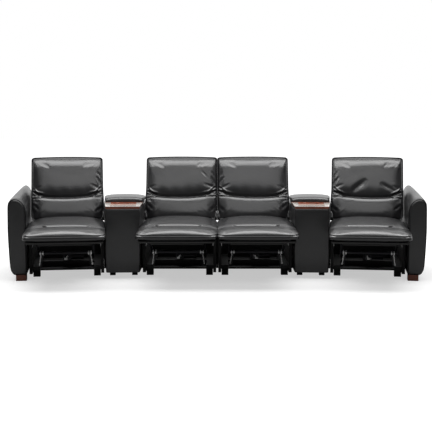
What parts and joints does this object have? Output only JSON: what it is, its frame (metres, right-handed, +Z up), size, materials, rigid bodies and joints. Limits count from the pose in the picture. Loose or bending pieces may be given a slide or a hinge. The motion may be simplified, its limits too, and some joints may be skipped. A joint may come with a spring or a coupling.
{
  "type": "cinema recliner seat row",
  "caption": "Curved row of powered cinema recliners in black leather with wedge consoles, wooden trays, padded arms and extended footrests.",
  "frame": {"origin": "on the floor at the middle of the row's footprint, between the two middle seats", "axes": "+Z up, +Y towards the backs, +X to the right as seen from in front of the seats looking at them"},
  "size_m": [3.4098, 1.3961, 0.9161],
  "materials": {
    "black_leather": "semi-gloss grained",
    "rosewood_lacquer": "gloss lacquer",
    "leg_wood": "satin",
    "black_board": "matt black cloth on board",
    "black_steel": "satin black powder coat",
    "zinc_steel": "bright zinc plate",
    "black_plastic": "matt"
  },
  "bodies": {
    "row_base": {"base_side_panels": "black_board", "glide_rails": "black_steel", "drive_motors": "black_steel", "base_rails": "black_board", "base_feet": "black_plastic", "left_arm": "black_leather", "right_arm": "black_leather", "arm_front_panels": "black_leather", "arm_legs": "leg_wood", "control_panels": "black_plastic", "console_1_body": "black_leather", "console_1_tray": "rosewood_lacquer", "console_2_body": "black_leather", "console_2_tray": "rosewood_lacquer"},
    "seat_1_carriage": {"seat_1_frame": "black_steel", "seat_1_cushion": "black_leather"},
    "seat_1_back": {"seat_1_back_frame": "black_leather", "seat_1_back_cushion": "black_leather"},
    "seat_1_footrest": {"seat_1_footrest_board": "black_board", "seat_1_footrest_pad": "black_leather"},
    "seat_1_link_lower_rears": {"seat_1_link_lower_rear": "black_steel"},
    "seat_1_link_lower_fronts": {"seat_1_link_lower_front": "black_steel"},
    "seat_1_link_upper_rears": {"seat_1_link_upper_rear": "black_steel"},
    "seat_1_link_upper_fronts": {"seat_1_link_upper_front": "black_steel"},
    "seat_1_drive": {"seat_1_drive_rod": "zinc_steel"},
    "seat_2_carriage": {"seat_2_frame": "black_steel", "seat_2_cushion": "black_leather"},
    "seat_2_back": {"seat_2_back_frame": "black_leather", "seat_2_back_cushion": "black_leather"},
    "seat_2_footrest": {"seat_2_footrest_board": "black_board", "seat_2_footrest_pad": "black_leather"},
    "seat_2_link_lower_rears": {"seat_2_link_lower_rear": "black_steel"},
    "seat_2_link_lower_fronts": {"seat_2_link_lower_front": "black_steel"},
    "seat_2_link_upper_rears": {"seat_2_link_upper_rear": "black_steel"},
    "seat_2_link_upper_fronts": {"seat_2_link_upper_front": "black_steel"},
    "seat_2_drive": {"seat_2_drive_rod": "zinc_steel"},
    "seat_3_carriage": {"seat_3_frame": "black_steel", "seat_3_cushion": "black_leather"},
    "seat_3_back": {"seat_3_back_frame": "black_leather", "seat_3_back_cushion": "black_leather"},
    "seat_3_footrest": {"seat_3_footrest_board": "black_board", "seat_3_footrest_pad": "black_leather"},
    "seat_3_link_lower_rears": {"seat_3_link_lower_rear": "black_steel"},
    "seat_3_link_lower_fronts": {"seat_3_link_lower_front": "black_steel"},
    "seat_3_link_upper_rears": {"seat_3_link_upper_rear": "black_steel"},
    "seat_3_link_upper_fronts": {"seat_3_link_upper_front": "black_steel"},
    "seat_3_drive": {"seat_3_drive_rod": "zinc_steel"},
    "seat_4_carriage": {"seat_4_frame": "black_steel", "seat_4_cushion": "black_leather"},
    "seat_4_back": {"seat_4_back_frame": "black_leather", "seat_4_back_cushion": "black_leather"},
    "seat_4_footrest": {"seat_4_footrest_board": "black_board", "seat_4_footrest_pad": "black_leather"},
    "seat_4_link_lower_rears": {"seat_4_link_lower_rear": "black_steel"},
    "seat_4_link_lower_fronts": {"seat_4_link_lower_front": "black_steel"},
    "seat_4_link_upper_rears": {"seat_4_link_upper_rear": "black_steel"},
    "seat_4_link_upper_fronts": {"seat_4_link_upper_front": "black_steel"},
    "seat_4_drive": {"seat_4_drive_rod": "zinc_steel"},
    "console_1_lid": {"console_1_lid": "black_leather"},
    "console_2_lid": {"console_2_lid": "black_leather"}
  },
  "joints": [
    {"name": "seat_1_glide", "type": "slide", "parent": "row_base", "child": "seat_1_carriage", "axis": [-0.1253, 0.9921, 0], "range_m": [0, 0.12]},
    {"name": "seat_1_recline", "type": "hinge", "parent": "seat_1_carriage", "child": "seat_1_back", "pos_m": [-1.23369, 0.34626, 0.395], "axis": [-0.9921, -0.1253, 0], "range_deg": [0, 35]},
    {"name": "seat_1_footrest_swing", "type": "hinge", "parent": "seat_1_carriage", "child": "seat_1_footrest", "pos_m": [-1.14972, -0.31846, 0.4], "axis": [0.9921, 0.1253, 0], "range_deg": [0, 90]},
    {"name": "seat_1_lower_rear_swing", "type": "hinge", "parent": "seat_1_carriage", "child": "seat_1_link_lower_rears", "pos_m": [-1.17666, -0.10515, 0.3], "axis": [0.9921, 0.1253, 0], "range_deg": [0, 90]},
    {"name": "seat_1_lower_front_swing", "type": "hinge", "parent": "seat_1_footrest", "child": "seat_1_link_lower_fronts", "pos_m": [-1.12966, -0.4772, 0.328], "axis": [-0.9921, -0.1253, 0], "range_deg": [0, 90]},
    {"name": "seat_1_upper_rear_swing", "type": "hinge", "parent": "seat_1_carriage", "child": "seat_1_link_upper_rears", "pos_m": [-1.17102, -0.1498, 0.318], "axis": [0.9921, 0.1253, 0], "range_deg": [0, 90]},
    {"name": "seat_1_upper_front_swing", "type": "hinge", "parent": "seat_1_footrest", "child": "seat_1_link_upper_fronts", "pos_m": [-1.13906, -0.40279, 0.33], "axis": [-0.9921, -0.1253, 0], "range_deg": [0, 90]},
    {"name": "seat_1_drive_slide", "type": "slide", "parent": "row_base", "child": "seat_1_drive", "axis": [-0.1246, 0.9866, -0.1049], "range_m": [0, 0.40022]},
    {"name": "seat_2_glide", "type": "slide", "parent": "row_base", "child": "seat_2_carriage", "axis": [0, 1, 0], "range_m": [0, 0.12]},
    {"name": "seat_2_recline", "type": "hinge", "parent": "seat_2_carriage", "child": "seat_2_back", "pos_m": [-0.3, 0.405, 0.395], "axis": [-1, 0, 0], "range_deg": [0, 35]},
    {"name": "seat_2_footrest_swing", "type": "hinge", "parent": "seat_2_carriage", "child": "seat_2_footrest", "pos_m": [-0.3, -0.265, 0.4], "axis": [1, 0, 0], "range_deg": [0, 90]},
    {"name": "seat_2_lower_rear_swing", "type": "hinge", "parent": "seat_2_carriage", "child": "seat_2_link_lower_rears", "pos_m": [-0.3, -0.05, 0.3], "axis": [1, 0, 0], "range_deg": [0, 90]},
    {"name": "seat_2_lower_front_swing", "type": "hinge", "parent": "seat_2_footrest", "child": "seat_2_link_lower_fronts", "pos_m": [-0.3, -0.425, 0.328], "axis": [-1, 0, 0], "range_deg": [0, 90]},
    {"name": "seat_2_upper_rear_swing", "type": "hinge", "parent": "seat_2_carriage", "child": "seat_2_link_upper_rears", "pos_m": [-0.3, -0.095, 0.318], "axis": [1, 0, 0], "range_deg": [0, 90]},
    {"name": "seat_2_upper_front_swing", "type": "hinge", "parent": "seat_2_footrest", "child": "seat_2_link_upper_fronts", "pos_m": [-0.3, -0.35, 0.33], "axis": [-1, 0, 0], "range_deg": [0, 90]},
    {"name": "seat_2_drive_slide", "type": "slide", "parent": "row_base", "child": "seat_2_drive", "axis": [0, 0.9945, -0.1049], "range_m": [0, 0.40022]},
    {"name": "seat_3_glide", "type": "slide", "parent": "row_base", "child": "seat_3_carriage", "axis": [0, 1, 0], "range_m": [0, 0.12]},
    {"name": "seat_3_recline", "type": "hinge", "parent": "seat_3_carriage", "child": "seat_3_back", "pos_m": [0.3, 0.405, 0.395], "axis": [-1, 0, 0], "range_deg": [0, 35]},
    {"name": "seat_3_footrest_swing", "type": "hinge", "parent": "seat_3_carriage", "child": "seat_3_footrest", "pos_m": [0.3, -0.265, 0.4], "axis": [1, 0, 0], "range_deg": [0, 90]},
    {"name": "seat_3_lower_rear_swing", "type": "hinge", "parent": "seat_3_carriage", "child": "seat_3_link_lower_rears", "pos_m": [0.3, -0.05, 0.3], "axis": [1, 0, 0], "range_deg": [0, 90]},
    {"name": "seat_3_lower_front_swing", "type": "hinge", "parent": "seat_3_footrest", "child": "seat_3_link_lower_fronts", "pos_m": [0.3, -0.425, 0.328], "axis": [-1, 0, 0], "range_deg": [0, 90]},
    {"name": "seat_3_upper_rear_swing", "type": "hinge", "parent": "seat_3_carriage", "child": "seat_3_link_upper_rears", "pos_m": [0.3, -0.095, 0.318], "axis": [1, 0, 0], "range_deg": [0, 90]},
    {"name": "seat_3_upper_front_swing", "type": "hinge", "parent": "seat_3_footrest", "child": "seat_3_link_upper_fronts", "pos_m": [0.3, -0.35, 0.33], "axis": [-1, 0, 0], "range_deg": [0, 90]},
    {"name": "seat_3_drive_slide", "type": "slide", "parent": "row_base", "child": "seat_3_drive", "axis": [0, 0.9945, -0.1049], "range_m": [0, 0.40022]},
    {"name": "seat_4_glide", "type": "slide", "parent": "row_base", "child": "seat_4_carriage", "axis": [0.1253, 0.9921, 0], "range_m": [0, 0.12]},
    {"name": "seat_4_recline", "type": "hinge", "parent": "seat_4_carriage", "child": "seat_4_back", "pos_m": [1.23369, 0.34626, 0.395], "axis": [-0.9921, 0.1253, 0], "range_deg": [0, 35]},
    {"name": "seat_4_footrest_swing", "type": "hinge", "parent": "seat_4_carriage", "child": "seat_4_footrest", "pos_m": [1.14972, -0.31846, 0.4], "axis": [0.9921, -0.1253, 0], "range_deg": [0, 90]},
    {"name": "seat_4_lower_rear_swing", "type": "hinge", "parent": "seat_4_carriage", "child": "seat_4_link_lower_rears", "pos_m": [1.17666, -0.10515, 0.3], "axis": [0.9921, -0.1253, 0], "range_deg": [0, 90]},
    {"name": "seat_4_lower_front_swing", "type": "hinge", "parent": "seat_4_footrest", "child": "seat_4_link_lower_fronts", "pos_m": [1.12966, -0.4772, 0.328], "axis": [-0.9921, 0.1253, 0], "range_deg": [0, 90]},
    {"name": "seat_4_upper_rear_swing", "type": "hinge", "parent": "seat_4_carriage", "child": "seat_4_link_upper_rears", "pos_m": [1.17102, -0.1498, 0.318], "axis": [0.9921, -0.1253, 0], "range_deg": [0, 90]},
    {"name": "seat_4_upper_front_swing", "type": "hinge", "parent": "seat_4_footrest", "child": "seat_4_link_upper_fronts", "pos_m": [1.13906, -0.40279, 0.33], "axis": [-0.9921, 0.1253, 0], "range_deg": [0, 90]},
    {"name": "seat_4_drive_slide", "type": "slide", "parent": "row_base", "child": "seat_4_drive", "axis": [0.1246, 0.9866, -0.1049], "range_m": [0, 0.40022]},
    {"name": "console_1_lid_hinge", "type": "hinge", "parent": "row_base", "child": "console_1_lid", "pos_m": [-0.78341, 0.63894, 0.553], "axis": [-0.998, -0.0628, 0], "range_deg": [0, 75]},
    {"name": "console_2_lid_hinge", "type": "hinge", "parent": "row_base", "child": "console_2_lid", "pos_m": [0.78341, 0.63894, 0.553], "axis": [-0.998, 0.0628, 0], "range_deg": [0, 75]}
  ],
  "couplings": [
    {"joint": "seat_1_footrest_swing", "follows": "seat_1_glide", "rad_per_m": 13.09},
    {"joint": "seat_1_lower_rear_swing", "follows": "seat_1_glide", "rad_per_m": 13.09},
    {"joint": "seat_1_lower_front_swing", "follows": "seat_1_glide", "rad_per_m": 13.09},
    {"joint": "seat_1_upper_rear_swing", "follows": "seat_1_glide", "rad_per_m": 13.09},
    {"joint": "seat_1_upper_front_swing", "follows": "seat_1_glide", "rad_per_m": 13.09},
    {"joint": "seat_1_drive_slide", "follows": "seat_1_glide", "ratio": 3.3351},
    {"joint": "seat_2_footrest_swing", "follows": "seat_2_glide", "rad_per_m": 13.09},
    {"joint": "seat_2_lower_rear_swing", "follows": "seat_2_glide", "rad_per_m": 13.09},
    {"joint": "seat_2_lower_front_swing", "follows": "seat_2_glide", "rad_per_m": 13.09},
    {"joint": "seat_2_upper_rear_swing", "follows": "seat_2_glide", "rad_per_m": 13.09},
    {"joint": "seat_2_upper_front_swing", "follows": "seat_2_glide", "rad_per_m": 13.09},
    {"joint": "seat_2_drive_slide", "follows": "seat_2_glide", "ratio": 3.3351},
    {"joint": "seat_3_footrest_swing", "follows": "seat_3_glide", "rad_per_m": 13.09},
    {"joint": "seat_3_lower_rear_swing", "follows": "seat_3_glide", "rad_per_m": 13.09},
    {"joint": "seat_3_lower_front_swing", "follows": "seat_3_glide", "rad_per_m": 13.09},
    {"joint": "seat_3_upper_rear_swing", "follows": "seat_3_glide", "rad_per_m": 13.09},
    {"joint": "seat_3_upper_front_swing", "follows": "seat_3_glide", "rad_per_m": 13.09},
    {"joint": "seat_3_drive_slide", "follows": "seat_3_glide", "ratio": 3.3351},
    {"joint": "seat_4_footrest_swing", "follows": "seat_4_glide", "rad_per_m": 13.09},
    {"joint": "seat_4_lower_rear_swing", "follows": "seat_4_glide", "rad_per_m": 13.09},
    {"joint": "seat_4_lower_front_swing", "follows": "seat_4_glide", "rad_per_m": 13.09},
    {"joint": "seat_4_upper_rear_swing", "follows": "seat_4_glide", "rad_per_m": 13.09},
    {"joint": "seat_4_upper_front_swing", "follows": "seat_4_glide", "rad_per_m": 13.09},
    {"joint": "seat_4_drive_slide", "follows": "seat_4_glide", "ratio": 3.3351}
  ]
}
